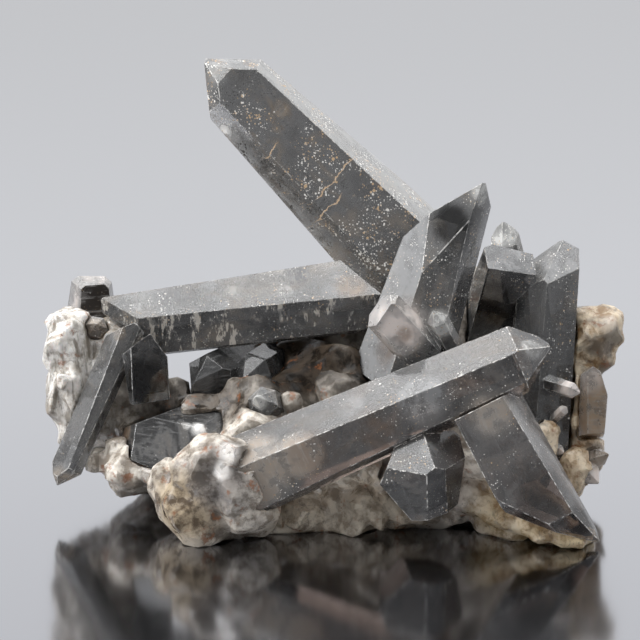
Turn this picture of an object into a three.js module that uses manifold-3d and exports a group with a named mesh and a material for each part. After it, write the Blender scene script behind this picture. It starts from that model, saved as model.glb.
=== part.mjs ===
// Morion quartz cluster: smoky quartz crystals on a loose piece of the rock they grew on.
// Millimetres, +Z up, the side that is shown faces -Y. The rock rests on its broken flat underside.
import * as THREE from 'three';
import { ConvexGeometry } from 'three/addons/geometries/ConvexGeometry.js';
import { mergeVertices } from 'three/addons/utils/BufferGeometryUtils.js';
import Module from 'manifold-3d';

const wasm = await Module();
wasm.setup();

// Driving dimensions
const CRYSTAL_GAP = 0.3;
const RHOMB_SLOPE = 51.8;
const CENTRE_SHIFT_X = -2.53;
const CENTRE_SHIFT_Y = 0.12;
const FLOOR_CUT = 0;
const LUMP_SEED = 20117;
const GRAIN_SEED = 5309;

const DEG = Math.PI / 180;

// ---------- Solids ----------

function toManifold(geometry) {
  const bare = geometry.clone();
  bare.deleteAttribute('normal');
  bare.deleteAttribute('uv');
  const merged = mergeVertices(bare, 1e-4);
  const mesh = new wasm.Mesh({
    numProp: 3,
    vertProperties: new Float32Array(merged.attributes.position.array),
    triVerts: new Uint32Array(merged.index.array),
  });
  return new wasm.Manifold(mesh);
}

function toGeometry(solid) {
  const mesh = solid.getMesh();
  const geometry = new THREE.BufferGeometry();
  geometry.setAttribute('position', new THREE.BufferAttribute(new Float32Array(mesh.vertProperties), 3));
  geometry.setIndex(new THREE.BufferAttribute(new Uint32Array(mesh.triVerts), 1));
  return geometry;
}

function largestPiece(solid) {
  const pieces = solid.decompose();
  pieces.sort((a, b) => b.volume() - a.volume());
  return pieces[0];
}

function union(solids) {
  return solids.reduce((sum, solid) => sum.add(solid));
}

// A convex solid from its flat faces: each face has an outward normal and a distance along it.
function solidFromFaces(faces, grow = 0) {
  const planes = faces.map((face) => new THREE.Plane(face.normal.clone(), -(face.distance + grow)));
  const corners = [];
  for (let i = 0; i < planes.length; i += 1) {
    for (let j = i + 1; j < planes.length; j += 1) {
      for (let k = j + 1; k < planes.length; k += 1) {
        const corner = meetingPoint(planes[i], planes[j], planes[k]);
        if (corner && planes.every((plane) => plane.distanceToPoint(corner) < 1e-5)) {
          corners.push(corner);
        }
      }
    }
  }
  const distinct = [];
  for (const corner of corners) {
    if (distinct.every((other) => other.distanceTo(corner) > 0.02)) {
      distinct.push(corner);
    }
  }
  return toManifold(new ConvexGeometry(distinct));
}

function meetingPoint(a, b, c) {
  const bc = new THREE.Vector3().crossVectors(b.normal, c.normal);
  const det = a.normal.dot(bc);
  if (Math.abs(det) < 1e-4) {
    return null;
  }
  const ca = new THREE.Vector3().crossVectors(c.normal, a.normal);
  const ab = new THREE.Vector3().crossVectors(a.normal, b.normal);
  return bc.multiplyScalar(-a.constant)
    .addScaledVector(ca, -b.constant)
    .addScaledVector(ab, -c.constant)
    .divideScalar(det);
}

// ---------- Quartz crystals ----------

// A quartz crystal: six long sides round its axis, a point of sloping faces, and a broken root.
// sides: [distance from the axis, taper in degrees]; face 0 looks to the front and they turn by 60.
// caps: [turn round the axis, slope from the axis, height over the tip].
// breaks: [outward direction, point on it] for a broken-off corner.
function crystalFaces({ tip, root, roll, sides, caps, breaks = [] }) {
  const top = new THREE.Vector3(...tip);
  const foot = new THREE.Vector3(...root);
  const axis = top.clone().sub(foot).normalize();
  const front = new THREE.Vector3(0, -1, 0);
  front.addScaledVector(axis, -front.dot(axis)).normalize();
  const across = new THREE.Vector3().crossVectors(axis, front);
  const direction = (turn, slope) => {
    const a = (turn + roll) * DEG;
    const s = slope * DEG;
    return new THREE.Vector3()
      .addScaledVector(front, Math.cos(a) * Math.sin(s))
      .addScaledVector(across, Math.sin(a) * Math.sin(s))
      .addScaledVector(axis, Math.cos(s));
  };
  const faces = [];
  sides.forEach(([distance, taper], i) => {
    const normal = direction(60 * i, 90 - taper);
    faces.push({ normal, distance: normal.dot(top) + distance * Math.cos(taper * DEG) });
  });
  for (const [turn, slope, height] of caps) {
    const normal = direction(turn, slope);
    faces.push({ normal, distance: normal.dot(top) + height * Math.cos(slope * DEG) });
  }
  const down = axis.clone().negate();
  faces.push({ normal: down, distance: down.dot(foot) });
  return faces.concat(blockFaces(breaks));
}

// Six equal-slope point faces with the given heights, in the order of the sides under them.
function rhombs(heights) {
  return heights.map((height, i) => [60 * i, RHOMB_SLOPE, height]);
}

// A plain small crystal: regular sides of one distance, slightly flattened from front to back.
// blunt cuts that much off its point, with a nearly square break.
function plainCrystal({ tip, root, roll = 0, half, flat = 1, heights = [0, 0.2, 0.1, 0, 0.2, 0.1], blunt = 0 }) {
  const sides = [0, 1, 2, 3, 4, 5].map((i) => [half * (i % 3 === 0 ? flat : 1), 1]);
  const caps = rhombs(heights);
  if (blunt > 0) {
    caps.push([-70, 16, -blunt]);
  }
  return crystalFaces({ tip, root, roll, sides, caps });
}

// A stout crystal seen nearly end-on, given by its flat faces: outward direction and a point on each.
function blockFaces(list) {
  return list.map(([nx, ny, nz, px, py, pz]) => {
    const normal = new THREE.Vector3(nx, ny, nz).normalize();
    return { normal, distance: normal.dot(new THREE.Vector3(px, py, pz)) };
  });
}

const tallCrystal = [crystalFaces({
  tip: [-19.4, 18, 72.6],
  root: [18.8, 18.8, 36],
  roll: 21,
  sides: [[3, 2.8], [5.8, 1], [7.4, 6.1], [5, 0], [5.2, 5.4], [4.4, 5]],
  caps: rhombs([1.3, 1.4, 4, 4, 1, 1]),
})];

const leftLyingCrystal = [crystalFaces({
  tip: [-37.5, 5.9, 31.7],
  root: [11, 8.3, 35.6],
  roll: -5,
  sides: [[5, 0.2], [2.7, 0.7], [2.5, 4.1], [3, 0], [4.5, 0], [8.3, -1.4]],
  caps: rhombs([0.4, 3, 3, 0, 0, 0]),
  breaks: [[0.6, 0.1, 0.8, 5.3, 6, 39.4]],
})];

const frontDiagonalCrystal = crystalFaces({
  tip: [37.8, -16, 32.3],
  root: [-14.7, -20, 10.6],
  roll: -5,
  sides: [[5.6, -0.5], [5.4, 2.5], [5, 0], [5, 0], [4.8, 1.2], [4.4, -0.2]],
  caps: rhombs([1.1, 1.2, -0.2, 0, 1.3, 0.2]),
});

const lowerRightBlade = crystalFaces({
  tip: [46, -25, 0.7],
  root: [33.2, -16, 24.5],
  roll: -18,
  sides: [[4.3, 7.6], [17, 1], [9, 0], [5, 0], [2, -2.5], [0.3, -1.5]],
  caps: rhombs([0, 4.8, 0, 0, 0, 0]),
  breaks: [[-0.86, -0.02, -0.46, 21.9, -26, 22.3]],
});

const centralCrystal = crystalFaces({
  tip: [27.6, -4, 56.2],
  root: [15.6, -6.4, 21],
  roll: -4,
  sides: [[3, 4.3], [0.3, 7.6], [3.1, 0.9], [7, 0], [10.1, 2.4], [6.7, 0.5]],
  caps: [[-25, 76, 8.1], [60, RHOMB_SLOPE, 1], [120, RHOMB_SLOPE, 1], [180, RHOMB_SLOPE, 0],
    [240, RHOMB_SLOPE, 0.5]],
});

const paleCrystal = plainCrystal({
  tip: [9.2, -11.8, 38.3],
  root: [17.8, -9.3, 28.2],
  roll: 4,
  half: 3.15,
  flat: 0.7,
  heights: [2, 2.4, 2.2, 2, 2.2, 2.4],
  blunt: 1.4,
});

const smallClearCrystal = plainCrystal({
  tip: [18.8, -11, 36.6],
  root: [23, -8, 28],
  roll: 0,
  half: 1.6,
});

const rightUprightCrystal = crystalFaces({
  tip: [41.8, 9, 42.6],
  root: [38.9, -1.5, 5],
  roll: 30,
  sides: [[3.6, 0], [3.1, 0.6], [4.4, 0], [5, 0], [7.1, 1], [6.1, 0.4]],
  caps: [[120, RHOMB_SLOPE, 2.4], [180, RHOMB_SLOPE, 3]],
  breaks: [
    [-0.57, -0.24, 0.79, 37.7, 6.9, 39.6],
    [0.2, -0.61, 0.76, 41.9, 6.5, 41],
  ],
});

const sideNeedles = [
  plainCrystal({ tip: [44.3, -5, 20.6], root: [38.5, -1, 21.4], half: 1.2 }),
  plainCrystal({ tip: [42.1, -4.5, 18], root: [39.6, -2, 14.2], half: 0.8 }),
  plainCrystal({ tip: [41.9, -4.2, 9.6], root: [38.5, -1, 10.6], half: 0.9 }),
];

const leftBladeCrystal = [crystalFaces({
  tip: [-44.9, -8, 4.9],
  root: [-32.5, -1.8, 32.6],
  roll: -4,
  sides: [[3.2, -1.1], [1.3, 1.3], [2.6, -0.3], [2.5, 0], [2.5, 0], [2.7, 0.6]],
  caps: rhombs([0, 0, 0, 0, 0, 0]),
  breaks: [
    [-0.4, 0.24, 0.88, -33, -4.5, 32.2],
    [0.8, 0.16, 0.58, -31, -4.5, 32.6],
  ],
})];

// The front stub is nearly end-on: its blunt point faces the front and the left.
const frontStub = blockFaces([
  [-0.45, -0.88, -0.18, 14.3, -27, 10.4],
  [-0.29, -0.59, 0.76, 13.3, -25.4, 15.4],
  [0.59, -0.33, 0.73, 20.9, -22.9, 15.7],
  [0.55, -0.82, -0.13, 18.7, -27.9, 11.3],
  [0.87, -0.49, -0.04, 22.2, -23.8, 11.6],
  [0.18, 0, -0.98, 19, -25.5, 5.8],
  [-0.75, -0.1, -0.65, 12.7, -27, 7.8],
  [-0.9, 0.1, 0.35, 10.6, -25, 13],
  [-0.05, 0.3, 0.95, 16, -19.5, 18.2],
  [0.93, 0.3, -0.2, 22.9, -20, 10],
  [0.3, 0.9, 0.2, 20.3, -15, 14],
]);

// The back block shows a bright sloping top and a dark front.
const backBlock = [
  blockFaces([
    [0.23, -0.44, 0.87, 31, 3.5, 41.5],
    [0.1, -0.95, -0.3, 30.8, 1.5, 40.5],
    [-0.9, -0.15, 0.15, 28, 4, 40],
    [0.95, 0, 0.1, 37, 3, 40],
    [0.1, 0.85, 0.5, 33, 7.5, 42.5],
    [-0.6, 0.6, 0.5, 29.4, 7.5, 43],
    [0, 0, -1, 32, 6, 24],
    [-0.5, -0.8, -0.1, 28.3, 1.8, 36],
  ]),
  plainCrystal({ tip: [31.6, 12, 46], root: [34.5, 13, 34], roll: 10, half: 2.3, heights: [-0.4, 0.6, 1.5, 1, 1, -0.4] }),
];

// The left stub shows one broad dark side, with a narrow one beside it and its point cut from behind.
const leftStub = [blockFaces([
  [0.15, -0.97, -0.15, -29, -6.6, 24],
  [-0.78, -0.62, -0.1, -32.1, -6.7, 24],
  [-0.98, 0.1, -0.13, -33.3, -5, 26],
  [-0.58, 0.25, 0.78, -31, -6.5, 29.6],
  [0.8, 0.2, 0.56, -27.2, -6.5, 29.4],
  [0.98, 0.15, 0.05, -25.6, -6.5, 24],
  [0, 1, 0.1, -29, 1.6, 24],
  [0.1, 0.1, -0.98, -29, -5, 19.2],
])];

// The far left crystal is seen nearly end-on: its broken end is dark, and its sides are pale.
const farLeftCrystal = [
  blockFaces([
    [0.2, -0.97, 0.1, -39.4, 12, 32.7],
    [-0.91, -0.4, 0.1, -42, 11.7, 33],
    [-0.62, -0.3, 0.72, -42, 12.2, 34.6],
    [0, -0.12, 0.99, -39.4, 12, 35.2],
    [0.7, -0.05, 0.71, -37.4, 12, 34.8],
    [0.99, -0.05, 0.1, -36.9, 12, 33],
    [0, -0.2, -0.98, -40, 14, 22.5],
    [0, 1, 0.15, -40, 17.4, 30],
  ]),
  plainCrystal({ tip: [-38.3, 0, 31.4], root: [-39.5, 14, 24.2], half: 1.7 }),
];

// A stubby tan crystal stands on the right end of the rock.
const tanCrystal = [blockFaces([
  [0.12, -0.98, 0.12, 46.5, -3.4, 18],
  [-0.85, -0.52, 0.05, 45.5, -3, 18],
  [-0.6, 0.21, 0.77, 45.5, -3, 23.8],
  [0.58, 0.22, 0.79, 47.3, -3, 24.3],
  [0.95, 0.08, 0.29, 48.4, -3, 22.4],
  [0.98, -0.1, -0.05, 49.1, -3, 17],
  [0.05, -0.4, -0.92, 48, -3, 12.6],
  [-0.97, 0.2, 0, 44.9, 0, 18],
  [0, 1, 0.1, 46.5, 2.6, 18],
])];

const lowerTanCrystals = [
  plainCrystal({ tip: [47.9, -5.2, 4.4], root: [45.2, -2.6, 6.6], roll: 15, half: 1.9 }),
  plainCrystal({ tip: [49.6, -4, 9.3], root: [45.6, -1.8, 7.2], roll: 5, half: 1.4 }),
];

// A broken crystal that lies low, with uneven faces.
const midLeftCrystal = [blockFaces([
  [-0.28, -0.83, 0.48, -24.6, -11.5, 14.3],
  [0.02, -0.22, 0.97, -22.6, -9, 17.1],
  [0.49, -0.5, 0.72, -16.4, -11.2, 14],
  [0.18, -0.98, 0.12, -17.8, -13.2, 11.1],
  [-0.32, -0.93, 0.17, -26.7, -13, 10.5],
  [-0.9, -0.3, 0.3, -31.8, -9, 13.5],
  [-0.35, -0.2, -0.92, -27, -10, 8.4],
  [0.1, 0.3, -0.95, -20, -8, 8.2],
  [0.9, 0.3, 0.1, -14.6, -8, 13],
  [0, 1, 0.1, -23, -2.6, 13],
  [-0.35, 0.25, 0.9, -29, -6, 16.4],
])];

const smallGem = [plainCrystal({ tip: [-10.8, -13.5, 22.4], root: [-7.5, -7, 18], roll: 10, half: 2.5 })];

const underLeftCrystals = [
  plainCrystal({ tip: [-21.5, -2, 20.7], root: [-11.5, 13, 21], roll: 0, half: 4.3, heights: [1, 2, 1.5, 1, 2, 2] }),
  plainCrystal({ tip: [-13.2, -2.5, 22], root: [-7, 12, 22], roll: 20, half: 3.2 }),
];

// ---------- The rock ----------

function seeded(seed) {
  let state = seed;
  return () => {
    state = (state * 1664525 + 1013904223) % 4294967296;
    return state / 4294967296;
  };
}

// A lump with flat broken faces: planes laid against an ellipsoid in evenly spread directions.
function lumpFaces(centre, radii, count, random) {
  const middle = new THREE.Vector3(...centre);
  const faces = [];
  const start = random() * Math.PI * 2;
  for (let i = 0; i < count; i += 1) {
    const up = 1 - (2 * (i + 0.5)) / count + (random() - 0.5) * 0.25;
    const z = Math.max(-1, Math.min(1, up));
    const turn = start + i * 2.39996 + (random() - 0.5) * 0.7;
    const flat = Math.sqrt(1 - z * z);
    const normal = new THREE.Vector3(flat * Math.cos(turn), flat * Math.sin(turn), z);
    const reach = Math.hypot(normal.x * radii[0], normal.y * radii[1], normal.z * radii[2]);
    faces.push({ normal, distance: normal.dot(middle) + reach * (0.86 + random() * 0.16) });
  }
  return faces;
}

const BIG_LUMPS = [
  // core of the rock
  [[-8, 3, 9], [22, 15, 12], 22],
  [[20, 3, 9], [23, 15, 13], 22],
  [[22, 13, 22], [15, 8, 14]],
  [[3, 5, 17], [15, 11, 8]],
  [[-26, 4, 10], [12, 10, 8]],
  [[4, 15, 18], [18, 8, 13]],
  // back, which holds the tall crystal's root
  [[20.5, 20.5, 29], [10.5, 8.5, 11], 24],
  [[31, 17, 22], [8, 8, 12]],
  [[8, 20, 24], [10, 7, 8]],
  [[-8, 17, 13], [10, 6, 9]],
  [[28, 20, 11], [9, 6, 9]],
  [[5, 23, 9], [9, 5, 8]],
  [[-24, 13, 8], [8, 6, 6.5]],
  [[-40.5, 15, 24.5], [5, 6.5, 5.5], 24],
  [[-35, 12, 17], [7, 6, 8]],
  // front left lobe
  [[-19.2, -18, 5], [8, 8.5, 6.5], 34],
  [[-19.2, -19.5, 1], [5, 5.5, 4]],
  [[-25, -15, 7], [3.6, 5, 5]],
  [[-18.6, -19.5, 11.4], [5.6, 6.6, 5.6], 18],
  [[-11.5, -12.5, 15], [5.5, 4.5, 5.4], 30],
  // low front edge
  [[-5, -10, 1.5], [9, 9, 5]],
  [[5, -10, 2], [9, 9, 5.5]],
  [[14.5, -11, 4.2], [8, 8, 5.6]],
  [[23, -11.5, 5.6], [8, 7.6, 5.4]],
  // rim under the blade
  [[33.5, -16.5, 2], [9, 5, 3.2]],
  [[41, -21.5, 0.8], [5, 3.5, 1.6]],
  [[25.5, -18.5, 6.6], [3, 3.4, 3.4]],
  [[28.6, -20, 5.2], [3, 3.2, 2.6]],
  [[31.4, -21.3, 4.1], [3.2, 3, 2.2]],
  [[34.4, -22.7, 3.3], [3.4, 2.8, 1.9]],
  [[37.6, -24, 2.5], [3.4, 2.6, 1.6]],
  [[40.8, -25.2, 1.6], [3.2, 2.3, 1.4]],
  // left end
  [[-43, 3, 26.2], [4.2, 6, 6.5]],
  [[-43, 2, 19], [4, 6, 7.5]],
  [[-42.5, 2, 14], [3.4, 5, 4.5]],
  [[-43, 4, 30.2], [4.2, 5, 2.4]],
  [[-37, 4, 17], [7, 7, 9]],
  [[-36.5, 6, 27], [5, 5, 4.2]],
  [[-31.5, -7, 8.5], [5.5, 5.5, 4]],
  [[-38.2, -6, 9], [2.2, 3, 2.2]],
  // right end
  [[46.3, 9, 27], [4, 6, 4.6]],
  [[48.8, 9, 24.3], [2.6, 5, 4]],
  [[49.4, 9, 28], [3, 4.6, 4]],
  [[45.3, 5, 16.6], [3.4, 5, 7]],
  [[46.5, 1, 8.3], [3.2, 4.5, 3]],
  [[43.5, -3, 6], [3.4, 4.5, 4.5]],
  [[44.5, 3, 11.8], [3.8, 5, 4]],
  [[41.5, 13, 21], [6, 6, 9]],
  // arch behind the front crystal
  [[3.4, -6, 20.5], [4.5, 4, 4.2]],
  [[-8, -4, 14], [13, 8, 7.5]],
  // around the front crystal's root
  [[-14.8, -20.6, 12.8], [4.6, 5.6, 4.6]],
  [[-13.4, -23.8, 9.6], [4.8, 3.6, 4.2]],
  [[-12, -22, 5.4], [5.6, 4.5, 3.4]],
  // around the tall crystal's root
  [[21.5, 20, 32], [5.5, 7.4, 9.6]],
];

const GRAIN_ZONES = [
  // centre, spread, how many, size
  [[-19.5, -18, 5.5], [6.5, 6.5, 5], 18, 1.8],
  [[-43, 2, 21], [3, 6, 9.5], 14, 1.7],
  [[46.5, 6, 20], [3, 6, 9], 8, 1.9],
  [[5, -14, 3], [18, 4.5, 3.2], 16, 1.7],
  [[36, -17.5, 2.2], [9, 3, 1.6], 10, 1.4],
  [[-31, -7.5, 8.5], [5, 5, 3.5], 12, 1.6],
  [[-4, -4, 16], [13, 7, 6], 11, 1.7],
];

// Every lump and zone has its own seed, so that a change to one leaves the others as they are.
function rockLumps() {
  const lumps = BIG_LUMPS.map(([centre, radii, count = 16], i) => (
    lumpFaces(centre, radii, count, seeded(LUMP_SEED + 97 * i))));
  GRAIN_ZONES.forEach(([centre, spread, count, size], zone) => {
    const random = seeded(GRAIN_SEED + 89 * zone);
    for (let i = 0; i < count; i += 1) {
      const turn = random() * Math.PI * 2;
      const up = random() * 2 - 1;
      const flat = Math.sqrt(1 - up * up);
      const place = [
        centre[0] + spread[0] * flat * Math.cos(turn),
        centre[1] + spread[1] * flat * Math.sin(turn),
        centre[2] + spread[2] * up,
      ];
      const r = size * (0.6 + random() * 0.7);
      lumps.push(lumpFaces(place, [r, r * (0.7 + random() * 0.5), r], 8, random));
    }
  });
  return lumps;
}

function aboveFloor(solid) {
  const block = new THREE.BoxGeometry(300, 300, 200);
  block.translate(0, 0, 100 + FLOOR_CUT);
  return solid.intersect(toManifold(block));
}

function buildRock(crystals) {
  let rock = union(rockLumps().map((faces) => solidFromFaces(faces)));
  for (const faces of crystals.flat()) {
    rock = rock.subtract(solidFromFaces(faces, CRYSTAL_GAP));
  }
  return largestPiece(aboveFloor(rock));
}

// ---------- The cluster ----------

const CRYSTAL_NODES = {
  tall_leaning_crystal: tallCrystal,
  left_lying_crystal: leftLyingCrystal,
  front_crystals: [frontDiagonalCrystal, lowerRightBlade, frontStub],
  central_crystals: [centralCrystal, paleCrystal, smallClearCrystal],
  right_crystals: [rightUprightCrystal, ...sideNeedles, ...backBlock],
  left_crystals: [...leftBladeCrystal, ...leftStub],
  far_left_crystals: farLeftCrystal,
  mid_left_crystal: midLeftCrystal,
  small_gem_crystal: smallGem,
  under_left_crystals: underLeftCrystals,
  tan_right_crystal: tanCrystal,
  lower_right_crystals: lowerTanCrystals,
};

const QUARTZ = new THREE.MeshStandardMaterial({ color: 0x4b4845, roughness: 0.15, metalness: 0 });
const ROCK = new THREE.MeshStandardMaterial({ color: 0xcfc3b0, roughness: 0.85, metalness: 0 });

const group = new THREE.Group();
group.name = 'morion_quartz_cluster';

function addNode(name, solid, material) {
  const geometry = toGeometry(solid);
  geometry.translate(CENTRE_SHIFT_X, CENTRE_SHIFT_Y, 0);
  geometry.computeVertexNormals();
  const mesh = new THREE.Mesh(geometry, material);
  mesh.name = name;
  group.add(mesh);
}

addNode('matrix_rock', buildRock(Object.values(CRYSTAL_NODES)), ROCK);
for (const [name, crystals] of Object.entries(CRYSTAL_NODES)) {
  const solid = aboveFloor(union(crystals.map((faces) => solidFromFaces(faces))));
  addNode(name, largestPiece(solid), QUARTZ);
}

export default group;
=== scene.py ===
# %% [markdown]
# # A cluster of smoky quartz on its rock
# The object is a mineral specimen: dark smoky quartz crystals, of the near-black kind called morion, that
# grew together on a lump of pale rough rock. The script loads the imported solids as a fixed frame, and
# dresses each of them with the edges, haze, dust and stains that the real one has. Sizes are written in
# millimetres and turned to metres by MM.

import math

import bpy
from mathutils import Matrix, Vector


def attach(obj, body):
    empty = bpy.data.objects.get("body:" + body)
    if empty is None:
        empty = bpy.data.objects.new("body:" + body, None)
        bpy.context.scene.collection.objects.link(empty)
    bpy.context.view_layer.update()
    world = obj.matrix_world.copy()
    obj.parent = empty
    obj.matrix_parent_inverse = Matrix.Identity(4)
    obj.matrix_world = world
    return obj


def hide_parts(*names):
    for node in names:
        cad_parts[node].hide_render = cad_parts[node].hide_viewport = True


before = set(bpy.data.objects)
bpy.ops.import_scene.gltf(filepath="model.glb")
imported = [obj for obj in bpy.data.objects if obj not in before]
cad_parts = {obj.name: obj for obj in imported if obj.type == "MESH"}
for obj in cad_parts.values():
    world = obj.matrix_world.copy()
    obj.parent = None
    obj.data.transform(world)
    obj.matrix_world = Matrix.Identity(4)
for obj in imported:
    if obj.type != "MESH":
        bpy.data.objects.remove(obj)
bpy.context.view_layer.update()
MM = 0.001


def mm(x, y, z):
    """A point given in millimetres, as a vector in metres."""
    return Vector((x, y, z)) * MM


def colour(hex_code):
    """An sRGB hex colour as the linear red, green, blue and alpha that a shader takes."""
    channels = [int(hex_code[i : i + 2], 16) / 255 for i in (1, 3, 5)]
    return (*[c / 12.92 if c <= 0.04045 else ((c + 0.055) / 1.055) ** 2.4 for c in channels], 1.0)


# %% [markdown]
# ## Camera
# A product camera a little above the specimen, with a long lens so that near and far crystals keep their
# proportions. It stands first, because every later choice of light is judged from it.

# %% Camera
CAMERA_PLACE = mm(-2.53, -434.55, 148.57)
CAMERA_TARGET = mm(-2.53, 0.12, 32.1)
CAMERA_LENS = 148.05
CAMERA_SENSOR = 36.0

camera_data = bpy.data.cameras.new("product_camera")
camera_data.lens = CAMERA_LENS
camera_data.sensor_width = CAMERA_SENSOR
camera_data.clip_start = 0.01
camera = bpy.data.objects.new("product_camera", camera_data)
bpy.context.collection.objects.link(camera)
camera.location = CAMERA_PLACE
camera.rotation_euler = (CAMERA_TARGET - CAMERA_PLACE).to_track_quat("-Z", "Y").to_euler()
bpy.context.scene.camera = camera
bpy.context.scene.view_settings.view_transform = "Standard"
down = math.degrees(math.asin((CAMERA_PLACE - CAMERA_TARGET).normalized().z))
print("camera looks down by", round(down, 1), "degrees")

# %% [markdown]
# ## One function for every node
# A shader is a web of small nodes. One function adds any of them: its settings, and its sockets filled by
# plain values or by links. It gives back the socket to link on from, so that a mask reads like a sum. The
# settings that come back often have names of their own.

# %% The node function
SMOOTH = {"interpolation_type": "SMOOTHSTEP"}
TIMES = {"operation": "MULTIPLY"}
PLUS = {"operation": "ADD"}
LESS = {"operation": "SUBTRACT"}
HIGHEST = {"operation": "MAXIMUM"}
TIMES_PLUS = {"operation": "MULTIPLY_ADD"}
OVER = {"data_type": "RGBA", "out": 2}


def add(tree, kind, inputs=(), out=0, **settings):
    """Adds a node, sets its fields, fills its sockets with values or links, and gives one output."""
    node = tree.nodes.new("ShaderNode" + kind)
    for field, value in settings.items():
        setattr(node, field, value)
    for socket, value in inputs.items() if isinstance(inputs, dict) else enumerate(inputs):
        if isinstance(value, bpy.types.NodeSocket):
            tree.links.new(value, node.inputs[socket])
        else:
            node.inputs[socket].default_value = value
    return node.outputs[out] if node.outputs else None


print("one function adds every node")

# %% [markdown]
# ## World
# Quartz shows its shape by what it reflects. Faces that look up mirror a bright room and go pale, and
# faces that look forward mirror the dim side and go nearly black. So the world is bright above and
# behind, and dim in front. An image of a real room could do it too, but a ramp by height is plainer to
# judge and to change.

# %% World
# height of the light's way (0 level, 1 straight up), and its brightness there
HEIGHT_GLOW = [(0.0, 0.7), (0.13, 0.79), (0.26, 1.25), (0.38, 1.2), (0.62, 0.9), (1.0, 1.15)]
# brightness of the front beside the rest, and the stretch of the way's y over which it changes
FRONT_DIM = 0.45
FRONT_SPAN = (-0.75, 0.1)
# the same for the right, by the way's x
RIGHT_GLOW = 1.02
RIGHT_SPAN = (-0.3, 0.7)
SKY_TINT = (0.985, 0.992, 1.012)

world = bpy.data.worlds.new("soft_studio")
bpy.context.scene.world = world
world.use_nodes = True
sky = world.node_tree
sky.nodes.clear()
sky_way = add(sky, "TexCoord")
sky_x = add(sky, "SeparateXYZ", [sky_way])
sky_y = sky_x.node.outputs["Y"]
sky_z = sky_x.node.outputs["Z"]
glow = add(sky, "ValToRGB", [sky_z])
glow_stops = glow.node.color_ramp.elements
while len(glow_stops) < len(HEIGHT_GLOW):
    glow_stops.new(0.5)
for stop, (height, light) in zip(glow_stops, HEIGHT_GLOW):
    stop.position = height
    stop.color = (*[light * tint for tint in SKY_TINT], 1.0)
front_share = add(sky, "MapRange", [sky_y, *FRONT_SPAN, FRONT_DIM, 1.0], **SMOOTH)
right_share = add(sky, "MapRange", [sky_x, *RIGHT_SPAN, 1.0, RIGHT_GLOW], **SMOOTH)
dimming = add(sky, "Math", [front_share, right_share], **TIMES)
sky_light = add(sky, "Background", [glow, dimming])
add(sky, "OutputWorld", [sky_light])
print("world:", len(sky.nodes), "nodes")

# %% [markdown]
# ## Soft lights
# Large soft boxes give dust and rock their shape, which a mirror-like crystal doesn't need. One hangs
# overhead and a little behind, as over a product table, and one stands at the left and fills the front.

# %% Soft lights
# name, place and size in millimetres, and watts
LIGHTS = [
    ("overhead_softbox", (-30, 80, 480), (520, 360), 1.7),
    ("left_softbox", (-420, -80, 300), (300, 300), 2.2),
]
LIGHT_TARGET = mm(0, 0, 30)

for light_name, place_mm, size_mm, watts in LIGHTS:
    light_data = bpy.data.lights.new(light_name, "AREA")
    light_data.shape = "RECTANGLE"
    light_data.size = size_mm[0] * MM
    light_data.size_y = size_mm[1] * MM
    light_data.energy = watts
    light = bpy.data.objects.new(light_name, light_data)
    bpy.context.collection.objects.link(light)
    light.location = mm(*place_mm)
    light.rotation_euler = (LIGHT_TARGET - light.location).to_track_quat("-Z", "Y").to_euler()
print(len(LIGHTS), "soft lights")

# %% [markdown]
# ## Floor
# The specimen stands on a polished sheet in which the crystals stand darkly, and which looks pale where
# it mirrors the bright wall behind. A metallic surface with a little roughness does both. The sheet is
# wide enough to be the whole backdrop, because its far end mirrors the light just over the horizon.

# %% Floor
FLOOR_WIDTH = 6000 * MM

bpy.ops.object.select_all(action="DESELECT")
bpy.ops.mesh.primitive_plane_add(size=FLOOR_WIDTH, location=(0, 0, 0))
floor = bpy.context.object
floor.name = "floor"
floor_finish = bpy.data.materials.new("polished_mirror_sheet")
floor_finish.use_nodes = True
floor_tree = floor_finish.node_tree
floor_tree.nodes.clear()
floor_shader = add(floor_tree, "BsdfPrincipled", {
    "Base Color": colour("#a3a4a8"), "Metallic": 1.0, "Roughness": 0.12,
})
add(floor_tree, "OutputMaterial", [floor_shader])
floor.data.materials.append(floor_finish)
print("floor is", FLOOR_WIDTH, "m wide")

# %% [markdown]
# ## Places and sides
# Much of the finish belongs to a place: a milky root, a frosted stub, a clear tip. Such a place is
# written as a soft ball, by its centre and radius in millimetres. A cloudy noise pushes the ball's edge
# in and out, because nothing on a crystal ends in a circle. Other colours belong to a side, and they
# are painted light and shade: a flat face that looks towards a light is painted paler, and one that
# looks the camera's way is painted darker. A side is written as the way that it faces.

# %% Place and side masks
BALL_CORE = 0.35
RAGGED_EDGE = 1.6 * MM
# how well a face has to look along a way to belong to that side, as a cosine
SIDE_LOOSE = 0.93
SIDE_FIRM = 0.97


def balls(tree, place, ragged, spots):
    """A mask that is 1 inside soft balls with ragged edges. Each spot is x, y, z, radius and strength."""
    total = None
    for x, y, z, radius, strength in spots:
        away = add(tree, "VectorMath", [place, mm(x, y, z)], out="Value", operation="DISTANCE")
        away = add(tree, "Math", [ragged, away], **PLUS)
        rim = radius * MM
        ball = add(tree, "MapRange", [away, rim, BALL_CORE * rim, 0.0, strength], **SMOOTH)
        total = ball if total is None else add(tree, "Math", [total, ball], **HIGHEST)
    return total


def painted_sides(tree, ways):
    """A mask of the faces that look along given ways, for light and shade painted by side. Each way is x,
    y, z and strength.
    """
    normal = add(tree, "NewGeometry", out="Normal")
    total = None
    for x, y, z, strength in ways:
        way = Vector((x, y, z)).normalized()
        along = add(tree, "VectorMath", [normal, way], out="Value", operation="DOT_PRODUCT")
        painted_side = add(tree, "MapRange", [along, SIDE_LOOSE, SIDE_FIRM, 0.0, strength], **SMOOTH)
        total = painted_side if total is None else add(tree, "Math", [total, painted_side], **HIGHEST)
    return total


print("places are soft balls with edges ragged over", RAGGED_EDGE / MM, "mm")

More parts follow.
